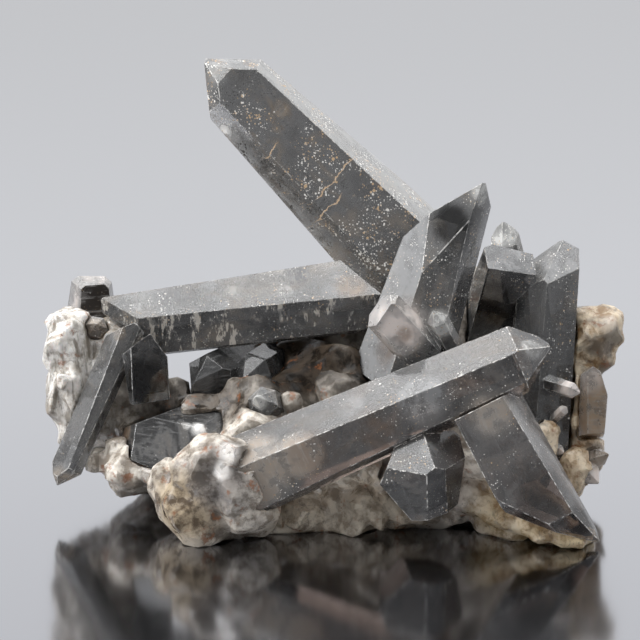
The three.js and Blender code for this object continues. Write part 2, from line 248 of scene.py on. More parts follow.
# %% [markdown]
# ## What lies on and in the quartz
# The finish of a mineral is many thin things over each other. Each function below makes one of them as a
# share from 0 to 1: the dusty film that settles on faces that look up, milky veils inside, specks of dust
# in drifts, white worn edges, crusty streaks, healed cracks, and stain from iron. The sizes are those of
# the real thing.

# %% Film, veils and specks
FILM_DRIFT = 4 * MM
FILM_GRAIN = 0.33 * MM
VEIL_CLOUD = 4 * MM
SPECK_DRIFT = 5 * MM
# cell of one grain in millimetres, and the largest grain's radius as a share of its cell
SPECK_SIZES = [(0.34, 0.62), (0.6, 0.5), (1.2, 0.36)]


def dusty_film(tree, place, grown, share, level_share):
    """Dust that is thick on faces that look up, in soft drifts with a faint grain."""
    normal = add(tree, "NewGeometry", out="Normal")
    up = add(tree, "SeparateXYZ", [normal], out="Z")
    lying = add(tree, "MapRange", [up, 0.1, 0.8, level_share, share], **SMOOTH)
    drift_settings = {"Vector": grown, "Scale": 1 / FILM_DRIFT, "Detail": 6.0, "Roughness": 0.62}
    mottle = add(tree, "TexNoise", drift_settings)
    mottled = add(tree, "MapRange", [mottle, 0.36, 0.64, 0.6, 1.35], **SMOOTH)
    grain = add(tree, "TexNoise", {"Vector": place, "Scale": 1 / FILM_GRAIN, "Detail": 1.0})
    grainy = add(tree, "MapRange", [grain, 0.34, 0.66, 0.9, 1.1], **SMOOTH)
    film = add(tree, "Math", [lying, mottled], **TIMES)
    return add(tree, "Math", [film, grainy], **TIMES)


def milky_veils(tree, grown, share):
    """Clouds of tiny bubbles inside the crystal, drawn out along it, with wispy edges."""
    cloud_settings = {"Detail": 7.0, "Roughness": 0.7, "Distortion": 0.6}
    cloud = add(tree, "TexNoise", {"Vector": grown, "Scale": 1 / VEIL_CLOUD, **cloud_settings})
    return add(tree, "MapRange", [cloud, 0.44, 0.64, 0.0, share], **SMOOTH)


def dust_specks(tree, place, share):
    """Separate grains, each of its own size up to some 0.8 mm across, gathered in drifts."""
    drift_settings = {"Vector": place, "Scale": 1 / SPECK_DRIFT, "Detail": 4.0, "Roughness": 0.6}
    drift = add(tree, "TexNoise", drift_settings)
    drifts = add(tree, "MapRange", [drift, 0.38, 0.58, 0.1 * share, share], **SMOOTH)
    total = None
    for cell, largest in SPECK_SIZES:
        grain = add(tree, "TexVoronoi", {"Vector": place, "Scale": 1 / (cell * MM)})
        luck = add(tree, "SeparateColor", [grain.node.outputs["Color"]])
        # a third of the cells hold no grain, and few hold a large one
        luck = add(tree, "MapRange", [luck, 0.3, 1.0, 0.0, largest])
        rim = add(tree, "Math", [luck, drifts], **TIMES)
        core = add(tree, "Math", [rim, 0.6], **TIMES)
        grains = add(tree, "MapRange", [grain, rim, core], **SMOOTH)
        total = grains if total is None else add(tree, "Math", [total, grains], **HIGHEST)
    return total


print("film, veils and specks are ready")

# %% [markdown]
# ## What breaks the surface
# Edges chip white, crust runs down from a ledge, growth leaves fine lines across a face, cracks heal as
# thin crooked seams, and iron dries as rusty patches. Each could be cut into the mesh, but none stands up
# more than a few hundredths of a millimetre, so each is a share of cover with a faint relief.

# %% Worn edges, crust, cracks and stain
WEAR_BREAK = 1.3 * MM
STREAK_WIDTH = 1.5 * MM
# a streak's width as a share of its length
STREAK_SLENDER = 0.3
STREAK_GROUP = 6 * MM
LINE_SPREAD = 4 * MM
CRACK_WANDER = 3.0 * MM
CRACK_EDGE = 0.2 * MM
CRACK_CORE = 0.05 * MM
STAIN_PATCH = 3 * MM


def worn_edges(tree, place, share):
    """White wear along the rounded edges, in broken lengths."""
    edge = add(tree, "Attribute", out="Fac", attribute_name="edge_wear")
    break_settings = {"Vector": place, "Scale": 1 / WEAR_BREAK, "Detail": 4.0, "Roughness": 0.75}
    breaks = add(tree, "TexNoise", break_settings)
    broken = add(tree, "MapRange", [breaks, 0.42, 0.6, 0.1, share], **SMOOTH)
    return add(tree, "Math", [edge, broken], **TIMES)


def crusty_streaks(tree, place, share):
    """Cream crust in streaks some 4 mm long, thick on upright faces and thin on the top."""
    normal = add(tree, "NewGeometry", out="Normal")
    up = add(tree, "SeparateXYZ", [normal], out="Z")
    upright = add(tree, "MapRange", [up, 0.7, 0.3, 0.3, 1.0], **SMOOTH)
    hanging = add(tree, "Mapping", {"Vector": place, "Scale": (1.0, 1.0, STREAK_SLENDER)})
    streak_settings = {"Vector": hanging, "Scale": 1 / STREAK_WIDTH, "Detail": 4.0, "Roughness": 0.75}
    streak = add(tree, "TexNoise", streak_settings)
    streaks = add(tree, "MapRange", [streak, 0.5, 0.6, 0.0, share], **SMOOTH)
    group = add(tree, "TexNoise", {"Vector": place, "Scale": 1 / STREAK_GROUP, "Detail": 2.0})
    groups = add(tree, "MapRange", [group, 0.42, 0.56], **SMOOTH)
    streaks = add(tree, "Math", [streaks, upright], **TIMES)
    return add(tree, "Math", [streaks, groups], **TIMES)


def growth_lines(tree, stepped, share):
    """Fine pale lines straight across a prism face, where growth paused."""
    line_settings = {"Vector": stepped, "Scale": 1 / LINE_SPREAD, "Detail": 3.0, "Roughness": 0.6}
    line = add(tree, "TexNoise", line_settings)
    return add(tree, "MapRange", [line, 0.57, 0.63, 0.0, share], **SMOOTH)


def healed_cracks(tree, place, wisps, axis, cracks):
    """Lines where the crystal once cracked across and grew together. Each crack is x, y, z and reach."""
    along = Vector(axis).normalized()
    total = None
    for x, y, z, reach in cracks:
        offset = add(tree, "VectorMath", [place, mm(x, y, z)], operation="SUBTRACT")
        height = add(tree, "VectorMath", [offset, along], out="Value", operation="DOT_PRODUCT")
        height = add(tree, "Math", [wisps, CRACK_WANDER, height], **TIMES_PLUS)
        height = add(tree, "Math", [height, CRACK_WANDER / 2], **LESS)
        height = add(tree, "Math", [height], operation="ABSOLUTE")
        thin = add(tree, "MapRange", [height, CRACK_EDGE, CRACK_CORE], **SMOOTH)
        away = add(tree, "VectorMath", [offset], out="Value", operation="LENGTH")
        near = add(tree, "MapRange", [away, reach * MM, 0.7 * reach * MM], **SMOOTH)
        crack = add(tree, "Math", [thin, near], **TIMES)
        total = crack if total is None else add(tree, "Math", [total, crack], **HIGHEST)
    return total


def iron_stain(tree, place, share):
    """Rusty peach patches, where iron-bearing water dried."""
    patch_settings = {"Vector": place, "Scale": 1 / STAIN_PATCH, "Detail": 6.0, "Roughness": 0.7}
    patch = add(tree, "TexNoise", patch_settings)
    return add(tree, "MapRange", [patch, 0.57, 0.66, 0.0, share], **SMOOTH)


print("edges, crust, lines, cracks and stain are ready")

# %% [markdown]
# ## Smoky quartz
# Smoky quartz is clear quartz darkened by natural radiation. Light goes into it and is slowly taken up,
# so a thin edge is clear and brownish and a thick body is nearly black. The shader says that directly:
# transmission at quartz's index of refraction, 1.544, and a plain absorption in the volume. A rougher way
# would be black paint with a gloss, but then no tip would ever glow. What lies on the quartz covers some
# share of the clear body.

# %% Smoky quartz
QUARTZ_IOR = 1.544
SMOKE_BROWN = "#4a4640"
SMOKE_WARM = "#8d6c50"
CLEAR_BODY = "#ffffff"
HAZE_GREY = "#c3c4c4"
VEIL_BROWN = "#b3aaa0"
DUST_WHITE = "#f3f0ea"
DUST_TAN = "#cfb08a"
IRON_PEACH = "#c08a5c"
CRACK_PEACH = "#e0c2a0"
CRUST_CREAM = "#d6cfc4"
LINE_PALE = "#dcdcda"
# each local finish: colour, share of the body it covers, and how much it dulls the gloss
LOCAL_FINISH = {
    # pale marks, and painted highlights on tips and facets that face a light
    "pale_and_highlight": ("#ecece9", 0.62, 0.1),
    # white marks, and painted highlight streaks on glassy quartz
    "white": ("#f7f5f1", 0.95, 0.15),
    # mist in places, and on a side, painted light on a face that looks towards a light
    "mist_and_lit_side": ("#c9cacb", 0.4, 0.1),
    "milky": ("#b0a497", 0.72, 0.1),
    "frosted": ("#a3a4a8", 0.46, 0.3),
    "rosy": ("#f6eae2", 0.95, 0.1),
    "smoky": ("#8d7563", 0.5, 0.05),
    "tan": ("#c3a47c", 0.8, 0.2),
    "peach": ("#d5b596", 0.6, 0.2),
    # painted shade, dark brown, on a side
    "dusky": ("#241e19", 0.85, 0.0),
    "window": ("#66676a", 0.6, 0.0),
}
# roughness of a clean face, and what full cover adds to it
CLEAN_ROUGHNESS = 0.04
COVER_ROUGHNESS = 0.3
WISP_SIZE = 3 * MM
# how far a pattern is drawn out along the axis, or pressed together along it
DRAWN_ALONG = 2.2
PRESSED_ALONG = 0.08
# the prism's steps: how far they reach, and how high they stand beside the crust
STEP_SPREAD = 6 * MM
STEP_SHARE = 0.15
CRUST_SHARE = 0.6
RELIEF_DEPTH = 0.05 * MM


def quartz(
    name, smoke, tint=SMOKE_BROWN, axis=(0, 0, 1), film=0.4, haze=0.08, specks=0.7, veils=0.3, stain=0.2,
    lines=0.25, crust=0.0, wear=0.7, clean=(), cracks=(), places=None, faces=None, seed=0,
):
    """A quartz finish. smoke is the absorption per metre and tint the colour that gets through. film to
    wear are shares from 0 to 1. clean and places are balls, faces are sides painted in light and shade,
    cracks cross the axis."""
    material = bpy.data.materials.new(name)
    material.use_nodes = True
    tree = material.node_tree
    tree.nodes.clear()
    own_place = add(tree, "TexCoord", out="Object")
    place = add(tree, "VectorMath", [own_place, mm(seed, 2 * seed, 3 * seed)], operation="ADD")
    # patterns drawn out along the crystal's axis, and patterns that step across it
    turn = Vector((0, 0, 1)).rotation_difference(Vector(axis)).to_euler()
    drawn = {"Vector": place, "Rotation": tuple(turn), "Scale": (1.0, 1.0, DRAWN_ALONG)}
    grown = add(tree, "Mapping", drawn, vector_type="TEXTURE")
    pressed = {"Vector": place, "Rotation": tuple(turn), "Scale": (1.0, 1.0, PRESSED_ALONG)}
    stepped = add(tree, "Mapping", pressed, vector_type="TEXTURE")
    wisp_settings = {"Vector": place, "Scale": 1 / WISP_SIZE, "Detail": 5.0, "Roughness": 0.65}
    wisps = add(tree, "TexNoise", wisp_settings)
    ragged = add(tree, "Math", [wisps, 2 * RAGGED_EDGE, -RAGGED_EDGE], **TIMES_PLUS)
    wispy = add(tree, "MapRange", [wisps, 0.36, 0.62, 0.55, 1.2], **SMOOTH)
    mild = add(tree, "MapRange", [wisps, 0.36, 0.62, 0.78, 1.1], **SMOOTH)

    # the thin even layers: film, veils and stain
    cover = dusty_film(tree, place, grown, film, haze)
    body = add(tree, "RGB")
    body.default_value = colour(HAZE_GREY)
    dull = 0.0
    layers = [
        (milky_veils(tree, grown, veils), VEIL_BROWN, 0.35, 0.0),
        (iron_stain(tree, place, stain), IRON_PEACH, 0.6, 0.0),
    ]
    # the finishes that belong to a place or to a side; those of a side are painted light and shade
    for finish in LOCAL_FINISH:
        shade, share, dulling = LOCAL_FINISH[finish]
        if finish in (places or {}):
            spot = balls(tree, own_place, ragged, places[finish])
            spot = add(tree, "Math", [spot, wispy], use_clamp=True, **TIMES)
            layers.append((spot, shade, share, dulling))
        if finish in (faces or {}):
            painted_side = add(tree, "Math", [painted_sides(tree, faces[finish]), mild], use_clamp=True, **TIMES)
            layers.append((painted_side, shade, share, dulling))
    # what lies on top: lines, cracks, crust, specks and worn edges
    speck_tint = add(tree, "MapRange", [wisps, 0.5, 0.56], **SMOOTH)
    speck_colour = add(tree, "Mix", {0: speck_tint, 6: colour(DUST_WHITE), 7: colour(DUST_TAN)}, **OVER)
    specked = dust_specks(tree, place, specks)
    crusted = crusty_streaks(tree, place, crust)
    layers.append((growth_lines(tree, stepped, lines), LINE_PALE, 0.6, 0.0))
    if cracks:
        layers.append((healed_cracks(tree, own_place, wisps, axis, cracks), CRACK_PEACH, 0.9, 0.0))
    layers.append((crusted, CRUST_CREAM, 0.9, 0.1))
    layers.append((specked, speck_colour, 0.95, 0.1))
    layers.append((worn_edges(tree, place, wear), DUST_WHITE, 0.95, 0.0))
    # a clean place is free of all that but its worn edges
    uncleaned = add(tree, "Math", [1.0, balls(tree, own_place, ragged, clean)], **LESS) if clean else 1.0
    cover = add(tree, "Math", [cover, uncleaned], **TIMES)
    for number, (mask, shade, share, dulling) in enumerate(layers):
        if clean and number < len(layers) - 1:
            mask = add(tree, "Math", [mask, uncleaned], **TIMES)
        shade = colour(shade) if isinstance(shade, str) else shade
        body = add(tree, "Mix", {0: mask, 6: body, 7: shade}, **OVER)
        covered = add(tree, "Math", [mask, share], **TIMES)
        cover = add(tree, "Math", [cover, covered], **HIGHEST)
        dull = add(tree, "Math", [mask, dulling, dull], **TIMES_PLUS)

    tinted = add(tree, "MapRange", [cover, 0.0, 0.25], **SMOOTH)
    base = add(tree, "Mix", {0: tinted, 6: colour(CLEAR_BODY), 7: body}, **OVER)
    clear = add(tree, "Math", [0.99, cover], use_clamp=True, **LESS)
    gloss = add(tree, "Math", [cover, COVER_ROUGHNESS, CLEAN_ROUGHNESS], **TIMES_PLUS)
    gloss = add(tree, "Math", [gloss, dull], **PLUS)
    # the faint steps across a prism face, and the thickness of the crust
    steps = add(tree, "TexNoise", {"Vector": stepped, "Scale": 1 / STEP_SPREAD, "Detail": 1.0})
    steps = add(tree, "Math", [steps, STEP_SHARE], **TIMES)
    relief = add(tree, "Math", [crusted, CRUST_SHARE, steps], **TIMES_PLUS)
    bumped = add(tree, "Bump", {"Height": relief, "Strength": 0.2, "Distance": RELIEF_DEPTH})
    shader = add(tree, "BsdfPrincipled", {
        "Base Color": base, "Roughness": gloss, "IOR": QUARTZ_IOR, "Transmission Weight": clear,
        "Normal": bumped,
    })
    smoked = add(tree, "VolumeAbsorption", {"Color": colour(tint), "Density": smoke})
    add(tree, "OutputMaterial", {"Surface": shader, "Volume": smoked})
    print(name, len(tree.nodes), "nodes")
    return material


# %% [markdown]
# ## Dressing a crystal
# A quartz crystal is a six-sided prism with a pointed end, and its faces are truly flat, so the packed
# solids already have the right shape. What they lack is a worn edge. Each is copied, its doubled corners
# are merged, its flat faces are made whole, slivers are closed up, and every edge gets a narrow rounding
# that catches the light. The rounding's own faces are marked, so that the finish can wear them white.

# %% Dressing a crystal
MERGE_REACH = 0.01 * MM
SAME_FACE = math.radians(0.6)
SLIVER = 0.16 * MM
EDGE_ROUND = 0.14 * MM
SHARP_EDGE = math.radians(8)
# area over outline of the smallest face that still counts as a flat face of the crystal
FLAT_FACE = 0.2 * MM


def copy_of_node(node, name):
    """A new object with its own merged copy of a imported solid's mesh, alone selected."""
    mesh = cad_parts[node].data.copy()
    mesh.materials.clear()
    piece = bpy.data.objects.new(name, mesh)
    bpy.context.collection.objects.link(piece)
    bpy.ops.object.select_all(action="DESELECT")
    piece.select_set(True)
    bpy.context.view_layer.objects.active = piece
    bpy.ops.object.mode_set(mode="EDIT")
    bpy.ops.mesh.select_all(action="SELECT")
    bpy.ops.mesh.remove_doubles(threshold=MERGE_REACH)
    bpy.ops.object.mode_set(mode="OBJECT")
    return piece


def round_edges(piece):
    """Closes slivers, rounds the edges, and marks the rounding's faces as edge_wear."""
    bpy.ops.object.mode_set(mode="EDIT")
    bpy.ops.mesh.dissolve_limited(angle_limit=SAME_FACE)
    bpy.ops.mesh.dissolve_degenerate(threshold=SLIVER)
    bpy.ops.mesh.dissolve_limited(angle_limit=SAME_FACE)
    bpy.ops.object.mode_set(mode="OBJECT")
    rounding = piece.modifiers.new("worn_edges", "BEVEL")
    rounding.width = EDGE_ROUND
    rounding.segments = 2
    rounding.limit_method = "ANGLE"
    rounding.angle_limit = SHARP_EDGE
    bpy.ops.object.modifier_apply(modifier="worn_edges")
    mesh = piece.data
    wear = mesh.attributes.new("edge_wear", "FLOAT", "FACE")
    for face in mesh.polygons:
        around = sum((mesh.vertices[a].co - mesh.vertices[b].co).length for a, b in face.edge_keys)
        wear.data[face.index].value = 1.0 if face.area / around < FLAT_FACE else 0.0


def finish_piece(piece, material, node):
    """Gives a piece its material, lets it ride, and hides the solid that it stands for."""
    piece.data.materials.append(material)
    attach(piece, "root")
    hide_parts(node)
    print(piece.name, len(piece.data.polygons), "faces")


# %% [markdown]
# ## The tall crystal and the lying one
# The tall crystal leans out of the back. Its broad front is dark and dusted with fine specks, but for a
# clean strip along its lower edge. Three crooked healed cracks run across it, and its right side and
# point are pale with painted highlights. The lying crystal has a pale dusty top with darker windows,
# cream crust hanging over its dark front, and a misty right end with a peach stain. Each is one finish
# with its own places.

# %% Tall and lying crystals
# the clean strip down the tall crystal's lower edge, as a row of balls from its upper end
STRIP_TOP = Vector((-15.5, 15.4, 59))
STRIP_STEP = Vector((2.7, 0, -3.2))
STRIP_COUNT = 6
STRIP_WIDTH = 3.2
clean_strip = [(*(STRIP_TOP + step * STRIP_STEP), STRIP_WIDTH, 0.8) for step in range(STRIP_COUNT)]

tall = copy_of_node("tall_leaning_crystal", "tall_leaning_quartz")
round_edges(tall)
tall_quartz = quartz(
    "smoky_quartz_tall", 300.0, axis=(-0.72, 0.0, 0.69), film=0.34, haze=0.06, specks=1.0, veils=1.0,
    seed=11, clean=clean_strip,
    cracks=[(0.1, 14.5, 53.8, 6), (-2.2, 13.1, 47.4, 6), (-12.6, 14.7, 57, 5)],
    places={
        # a painted highlight on the point
        "pale_and_highlight": [(-20.8, 16, 72, 4, 0.4)],
        "white": [(-19.1, 16.1, 62, 1.6, 1.0)],
        "tan": [(-9, 15, 66, 3, 0.5)],
    },
    # a painted highlight on the right side, which looks up and to the right
    faces={"pale_and_highlight": [(0.67, -0.16, 0.72, 0.65)]},
)
finish_piece(tall, tall_quartz, "tall_leaning_crystal")

lying = copy_of_node("left_lying_crystal", "left_lying_quartz")
round_edges(lying)
lying_quartz = quartz(
    "smoky_quartz_crusted", 420.0, axis=(-1.0, 0.0, -0.08), film=0.23, haze=0.06, specks=0.6, veils=0.8,
    crust=0.9, seed=23,
    places={
        "mist_and_lit_side": [(0.1, 5.5, 37, 6, 0.7)],
        "window": [(-6.5, 8, 37.9, 3.6, 0.9), (-13, 8, 37, 2.8, 0.6), (-26, 6, 35.5, 4, 0.6)],
        "peach": [(3, 5, 36.5, 4, 0.6)],
        # pale spots and painted highlights along the top
        "pale_and_highlight": [(-17.5, 5, 36.5, 3, 0.5), (-8.5, 4.5, 36.8, 3, 0.6), (-33, 4, 34, 4, 0.5)],
    },
)
finish_piece(lying, lying_quartz, "left_lying_crystal")

# %% [markdown]
# ## The front and central groups
# The long front crystal is brown and cloudy at its root, misty along its top, and carries a painted
# highlight at its point. It is grown into one piece with the blade under it, whose lower end is clean and
# dark, and with the frosted stub below. The three share one mesh, so their differences are places, but
# for painted light on the blade's side that looks up and to the right. The central crystal has a smooth
# left side painted pale, as lit from the left, painted highlights, a clean black mirror facet and a
# pinkish crystal at its foot.

# %% Front and central groups
front = copy_of_node("front_crystals", "front_quartz_group")
round_edges(front)
front_quartz = quartz(
    "smoky_quartz_front", 210.0, SMOKE_WARM, axis=(0.92, 0.07, 0.38), film=0.17, haze=0.06, specks=0.55,
    veils=0.7, wear=0.9, seed=37, clean=[(33, -25, 9, 9, 1.0), (40, -26, 5, 6, 1.0)],
    places={
        "milky": [(-14, -24, 13, 10, 1.0), (-5.8, -24.2, 15.7, 6, 1.0), (25, -25, 23, 6, 0.8)],
        "smoky": [(-2.5, -24, 16.6, 7, 0.4), (7.3, -23.5, 19.8, 6, 0.6)],
        "mist_and_lit_side": [(13.8, -22.7, 25.5, 7, 1.0), (3, -20, 22.5, 5, 0.7)],
        "rosy": [(14.5, -24.5, 22.5, 4, 0.35)],
        "frosted": [(15.5, -22, 13.5, 7, 0.6)],
        # painted highlights on the point and along the front
        "pale_and_highlight": [(32.5, -19, 33, 3.4, 0.9), (15.4, -25, 16.8, 3.5, 0.5), (25, -25, 23, 4.5, 0.4)],
        "tan": [(41.9, -25.7, 1.6, 3, 0.7), (24, -25, 13, 3, 0.7)],
    },
    # painted light on the blade's side that looks up and to the right
    faces={"mist_and_lit_side": [(0.82, -0.19, 0.54, 0.8)]},
)
finish_piece(front, front_quartz, "front_crystals")

central = copy_of_node("central_crystals", "central_quartz_group")
round_edges(central)
central_quartz = quartz(
    "smoky_quartz_central", 300.0, axis=(0.32, 0.06, 0.95), film=0.36, haze=0.06, specks=0.6, veils=0.7,
    seed=41, clean=[(19.2, -7, 50.5, 5.5, 1.0)],
    places={
        "rosy": [(10.5, -11, 34, 7, 1.0)],
        "smoky": [(11.6, -13, 33, 2.4, 0.6), (7.5, -8.5, 30, 5, 0.6)],
        # painted highlights
        "pale_and_highlight": [(24.6, -5, 55.5, 3.5, 0.8), (17.4, -11, 34.4, 4, 0.9), (10.5, -12, 34.5, 5, 0.5)],
    },
    # the left side painted pale, as lit from the left
    faces={"mist_and_lit_side": [(-0.84, -0.44, 0.32, 1.0)]},
)
finish_piece(central, central_quartz, "central_crystals")

# %% [markdown]
# ## The right and left groups
# The right crystals stand upright, dusty on top, with painted light on the faces that look up and a
# painted highlight, and dark in front, with small pinkish needles on their side. The left blade is smooth
# and grey with thin white edges and a tan lower end, and the stub beside it is clean and black.

# %% Right and left groups
right = copy_of_node("right_crystals", "right_quartz_group")
round_edges(right)
right_quartz = quartz(
    "smoky_quartz_right", 320.0, axis=(0.07, 0.26, 0.96), film=0.33, haze=0.06, specks=0.7, stain=0.3,
    seed=53, clean=[(27.6, 3.7, 33.8, 7, 1.0)],
    places={
        # a painted highlight
        "pale_and_highlight": [(30, 12, 44.5, 5, 0.9)],
        "rosy": [(41, -5, 20.9, 4.5, 1.0), (39, -4.6, 17.4, 3.5, 1.0), (39.6, -5, 9.8, 3, 0.9)],
    },
    # painted light on the tops that look up
    faces={"mist_and_lit_side": [(0.23, -0.44, 0.87, 0.7)]},
)
finish_piece(right, right_quartz, "right_crystals")

left = copy_of_node("left_crystals", "left_quartz_blades")
round_edges(left)
left_quartz = quartz(
    "smoky_quartz_blades", 420.0, axis=(-0.4, -0.2, -0.9), film=0.08, haze=0.04, specks=0.4, veils=0.4,
    seed=67, clean=[(-31.7, -5, 23.5, 8, 1.0)],
    places={"tan": [(-46, -8, 6, 4, 0.6), (-37, -5, 31.5, 2.5, 0.6)]},
)
finish_piece(left, left_quartz, "left_crystals")

# %% [markdown]
# ## The small crystals
# The far left stub shows a front painted in dark brown shade between pale sides, and the small one beside
# it is tan. The low crystal is glassy with a painted white highlight streak along its top, the gem-like
# one is pale with a painted highlight, and the two sheltered under the lying crystal are dark and nearly
# clean.

# %% Small crystals
far_left = copy_of_node("far_left_crystals", "far_left_quartz_stubs")
round_edges(far_left)
far_left_quartz = quartz(
    "smoky_quartz_stubs", 260.0, SMOKE_WARM, film=0.5, haze=0.25, specks=0.4, veils=0.6, wear=0.4,
    seed=71,
    places={
        "rosy": [(-46.6, 14, 32.5, 5.0, 0.5), (-42, 15, 36.5, 4.0, 0.5)],
        "tan": [(-40.5, 0, 29.5, 4, 0.6)],
    },
    # painted shade on the fronts that look the camera's way
    faces={"dusky": [(0.2, -0.97, 0.1, 1.0)]},
)
finish_piece(far_left, far_left_quartz, "far_left_crystals")

glassy = copy_of_node("mid_left_crystal", "glassy_left_quartz")
round_edges(glassy)
glassy_quartz = quartz(
    "broken_glassy_quartz", 420.0, SMOKE_WARM, film=0.04, haze=0.02, specks=0.3, veils=0.6, wear=0.12,
    seed=83,
    places={
        "milky": [(-19, -13, 14.5, 5, 0.4), (-31, -8, 9.5, 3.5, 0.3)],
        # a painted white highlight streak along the top
        "white": [(-22.7, -11.4, 16.6, 2.2, 1.0), (-19.6, -11, 16.4, 1.8, 1.0), (-25, -11, 17, 1.3, 0.8)],
        "peach": [(-35.5, -5, 13.5, 3, 0.9)],
    },
)
finish_piece(glassy, glassy_quartz, "mid_left_crystal")

gem = copy_of_node("small_gem_crystal", "small_pale_quartz")
round_edges(gem)
gem_quartz = quartz(
    "pale_smoky_quartz", 120.0, film=0.5, haze=0.1, specks=0.5, veils=0.6, wear=0.5, seed=97,
    # a painted highlight on the facets
    places={"pale_and_highlight": [(-12.8, -13.5, 21.5, 2.6, 1.0)]},
)
finish_piece(gem, gem_quartz, "small_gem_crystal")

sheltered = copy_of_node("under_left_crystals", "sheltered_quartz")
round_edges(sheltered)
sheltered_quartz = quartz(
    "smoky_quartz_sheltered", 420.0, film=0.04, haze=0.03, specks=0.1, wear=0.12, seed=101,
)
finish_piece(sheltered, sheltered_quartz, "under_left_crystals")

# %% [markdown]
# ## The tan crystals at the right end
# Three stubby crystals stand on the right end of the rock. They are cloudy and stained by iron, so the
# haze is thick, and little smoke darkens them.

# %% Tan crystals at the right end
tan = copy_of_node("tan_right_crystal", "tan_stubby_quartz")
round_edges(tan)
tan_quartz = quartz(
    "cloudy_tan_quartz", 110.0, SMOKE_WARM, film=0.35, haze=0.3, specks=0.4, veils=0.9, stain=0.6,
    seed=113,
    places={"tan": [(45.5, -2, 16, 9, 0.6)], "rosy": [(44, -3, 22, 4, 0.6), (43.5, -3, 14, 3, 0.5)]},
)
finish_piece(tan, tan_quartz, "tan_right_crystal")

lower_tan = copy_of_node("lower_right_crystals", "small_tan_quartz")
round_edges(lower_tan)
small_tan_quartz = quartz(
    "pale_tan_quartz", 80.0, SMOKE_WARM, film=0.4, haze=0.4, specks=0.3, veils=0.6, stain=0.5, seed=127,
    places={"rosy": [(44, -4, 5, 5, 0.8)], "tan": [(46.5, -3.5, 8.5, 4, 0.5)]},
)
finish_piece(lower_tan, small_tan_quartz, "lower_right_crystals")

# %% [markdown]
# ## The rock's shape
# The rock is a broken mass of feldspar and milky quartz. Most of it broke in shallow scoops with sharp
# ridges between them, as glassy stone does, and its left end is fibrous, with ridges that stand upright.
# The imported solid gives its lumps. It could be sculpted scoop by scoop, but a remesh that joins the lumps
# into one skin, and displacements that cut the skin, give the same broken look everywhere at once.

# %% Rock shape
ROCK_VOXEL = 0.5 * MM
BLEND_SHARE = 0.5
BLEND_ROUNDS = 5
# texture kind, size, depth and further settings, coarse to fine
ROCK_RELIEF = [
    ("VORONOI", 5.0 * MM, 1.5 * MM, {}),
    ("CLOUDS", 2.6 * MM, 0.4 * MM, {"noise_depth": 0, "noise_basis": "VORONOI_F1"}),
]
FIBRE_SIZE = 1.4 * MM
FIBRE_DEPTH = 1.3 * MM
FIBRE_DRAWN = 6.0
# the fibrous end begins at the first x and is fully fibrous from the second
FIBRE_END = (-34 * MM, -39 * MM)
FIBROUS_CALM = 0.7
FACET_SHARE = 0.27
RIDGE_ANGLE = math.radians(24)

rock = copy_of_node("matrix_rock", "rough_matrix_rock")
skin = rock.modifiers.new("one_skin", "REMESH")
skin.mode = "VOXEL"
skin.voxel_size = ROCK_VOXEL
bpy.ops.object.modifier_apply(modifier="one_skin")
blend = rock.modifiers.new("blend_lumps", "SMOOTH")
blend.factor = BLEND_SHARE
blend.iterations = BLEND_ROUNDS
bpy.ops.object.modifier_apply(modifier="blend_lumps")

# how fibrous and how granular each point is, by its place
fibrous = rock.vertex_groups.new(name="fibrous_end")
granular = rock.vertex_groups.new(name="granular_body")
for vertex in rock.data.vertices:
    share = (FIBRE_END[0] - vertex.co.x) / (FIBRE_END[0] - FIBRE_END[1])
    share = min(1.0, max(0.0, share))
    fibrous.add([vertex.index], share, "REPLACE")
    granular.add([vertex.index], 1.0 - FIBROUS_CALM * share, "REPLACE")
for kind, size, depth, settings in ROCK_RELIEF:
    texture = bpy.data.textures.new("rock_relief", kind)
    texture.noise_scale = size
    for field, value in settings.items():
        setattr(texture, field, value)
    push = rock.modifiers.new("relief", "DISPLACE")
    push.texture = texture
    push.strength = depth
    push.vertex_group = "granular_body"
    bpy.ops.object.modifier_apply(modifier="relief")

# the left end is fibrous: pressed flat, cut into ridges and drawn out again, its ridges stand upright.
# They push out to the front and back alone, because a push upwards would be drawn out into spikes
fibre = bpy.data.textures.new("fibres", "CLOUDS")
fibre.noise_scale = FIBRE_SIZE
fibre.noise_depth = 1
for factor in (1 / FIBRE_DRAWN, FIBRE_DRAWN):
    bpy.ops.object.mode_set(mode="EDIT")
    bpy.ops.mesh.select_all(action="SELECT")
    bpy.ops.transform.resize(value=(1.0, 1.0, factor), center_override=(0.0, 0.0, 0.0))
    bpy.ops.object.mode_set(mode="OBJECT")
    if factor < 1:
        ridges = rock.modifiers.new("ridges", "DISPLACE")
        ridges.texture = fibre
        ridges.strength = FIBRE_DEPTH
        ridges.direction = "Y"
        ridges.vertex_group = "fibrous_end"
        bpy.ops.object.modifier_apply(modifier="ridges")

# fewer, larger triangles leave flat broken facets a millimetre or so across, finer at the fibrous end
facets = rock.modifiers.new("broken_facets", "DECIMATE")
facets.ratio = FACET_SHARE
facets.vertex_group = "granular_body"
bpy.ops.object.modifier_apply(modifier="broken_facets")

# the underside is flat: what the relief pushed below the floor is pressed back to it
bpy.ops.object.mode_set(mode="EDIT")
bpy.ops.mesh.select_mode(type="VERT")
bpy.ops.mesh.select_all(action="DESELECT")
bpy.ops.object.mode_set(mode="OBJECT")
for vertex in rock.data.vertices:
    vertex.select = vertex.co.z < 0.0
sunk = [vertex.select for vertex in rock.data.vertices].count(True)
bpy.ops.object.mode_set(mode="EDIT")
bpy.ops.transform.resize(value=(1.0, 1.0, 0.0), center_override=(0.0, 0.0, 0.0))
bpy.ops.object.mode_set(mode="OBJECT")
# between the broken ridges the faces are smooth, like glass
bpy.ops.object.shade_smooth_by_angle(angle=RIDGE_ANGLE)
print("rock skin:", len(rock.data.polygons), "faces,", sunk, "points pressed flat")
